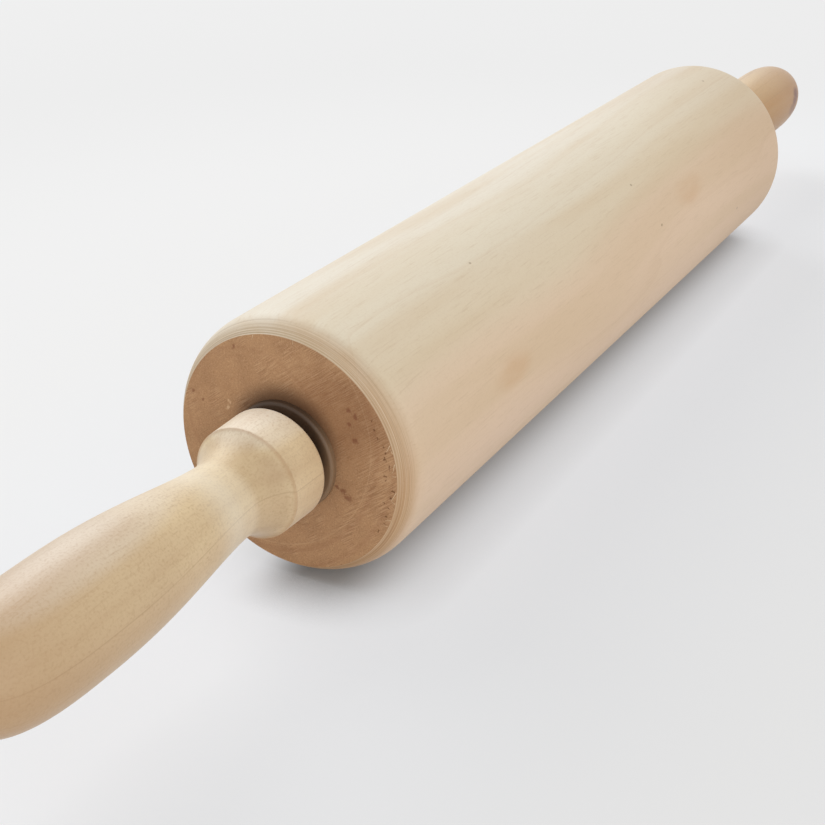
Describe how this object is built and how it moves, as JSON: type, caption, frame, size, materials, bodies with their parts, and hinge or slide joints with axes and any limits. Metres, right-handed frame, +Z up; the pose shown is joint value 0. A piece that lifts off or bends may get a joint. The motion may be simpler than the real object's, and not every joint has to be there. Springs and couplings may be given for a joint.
{
  "type": "rolling pin",
  "caption": "Wooden roller pin: a cylindrical barrel that revolves on ball bearings round a steel rod, with a turned handle at each end.",
  "frame": {"origin": "middle of the barrel's axis, which is the centre of the whole pin", "axes": "+X along the rod towards the far handle, +Z up; the table that the barrel lies on is at z = -0.035"},
  "size_m": [0.5292, 0.07, 0.07],
  "materials": {
    "barrel_wood": "sanded, unvarnished maple or birch",
    "handle_wood": "turned and sanded, unvarnished",
    "housing_nylon": "moulded, matt",
    "cage_nylon": "moulded, natural",
    "rod_steel": "drawn stainless bar",
    "bearing_steel": "ground",
    "ball_steel": "polished",
    "spring_steel": "phosphated dark",
    "insert_brass": "turned"
  },
  "bodies": {
    "axle": {"axle_rod": "rod_steel", "near_handle": "handle_wood", "near_handle_insert": "insert_brass", "near_spacer": "rod_steel", "near_retaining_clip": "spring_steel", "near_inner_race": "bearing_steel", "far_handle": "handle_wood", "far_handle_insert": "insert_brass", "far_spacer": "rod_steel", "far_retaining_clip": "spring_steel", "far_inner_race": "bearing_steel"},
    "barrel": {"barrel": "barrel_wood", "near_bearing_housing": "housing_nylon", "near_outer_race": "bearing_steel", "near_bearing_shield": "bearing_steel", "far_bearing_housing": "housing_nylon", "far_outer_race": "bearing_steel", "far_bearing_shield": "bearing_steel"},
    "near_cage": {"near_ball_cage": "cage_nylon", "near_bearing_balls": "ball_steel"},
    "far_cage": {"far_ball_cage": "cage_nylon", "far_bearing_balls": "ball_steel"}
  },
  "joints": [
    {"name": "barrel_spin", "type": "hinge", "parent": "axle", "child": "barrel", "pos_m": [0, 0, 0], "axis": [1, 0, 0], "continuous": true},
    {"name": "near_cage_spin", "type": "hinge", "parent": "axle", "child": "near_cage", "pos_m": [-0.1565, 0, 0], "axis": [1, 0, 0], "continuous": true},
    {"name": "far_cage_spin", "type": "hinge", "parent": "axle", "child": "far_cage", "pos_m": [0.1565, 0, 0], "axis": [1, 0, 0], "continuous": true}
  ],
  "couplings": [
    {"joint": "near_cage_spin", "follows": "barrel_spin", "ratio": 0.63233},
    {"joint": "far_cage_spin", "follows": "barrel_spin", "ratio": 0.63233}
  ]
}
